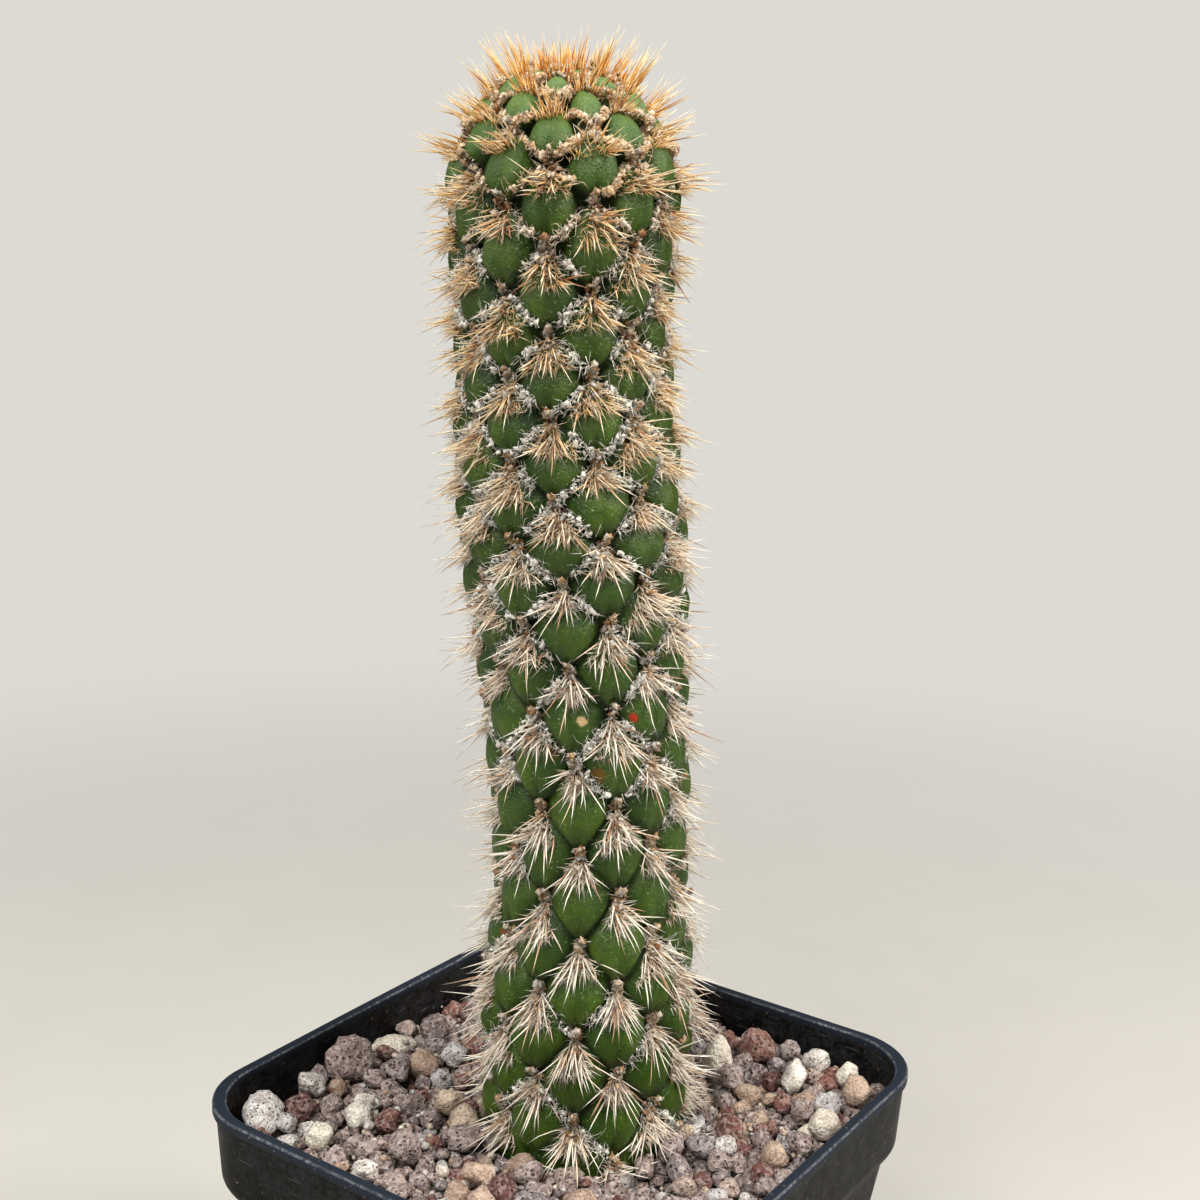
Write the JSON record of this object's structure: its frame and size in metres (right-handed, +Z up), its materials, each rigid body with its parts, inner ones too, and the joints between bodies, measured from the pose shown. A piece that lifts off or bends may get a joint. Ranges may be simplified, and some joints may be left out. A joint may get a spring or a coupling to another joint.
{
  "type": "potted columnar cactus",
  "caption": "Spiny tubercled columnar cactus standing in a square black plastic nursery pot of potting mix under a gravel top dressing.",
  "frame": {"origin": "middle of the pot's base, on the surface that it stands on", "axes": "+Z up the stem, +X and +Y square to two of the pot's sides"},
  "size_m": [0.102, 0.102, 0.2794],
  "materials": {
    "pot_plastic": "black, semi-matt, dusty, scuffed along the rim",
    "soil": "dark crumbly bark and peat mix",
    "stones": "mixed mauve-grey lava, red scoria, white pumice and tan grit",
    "plant": "deep green waxy skin with cream to golden spines"
  },
  "bodies": {
    "root": {"pot": "pot_plastic", "potting_mix": "soil", "gravel": "stones", "cereus": "plant"}
  },
  "joints": []
}
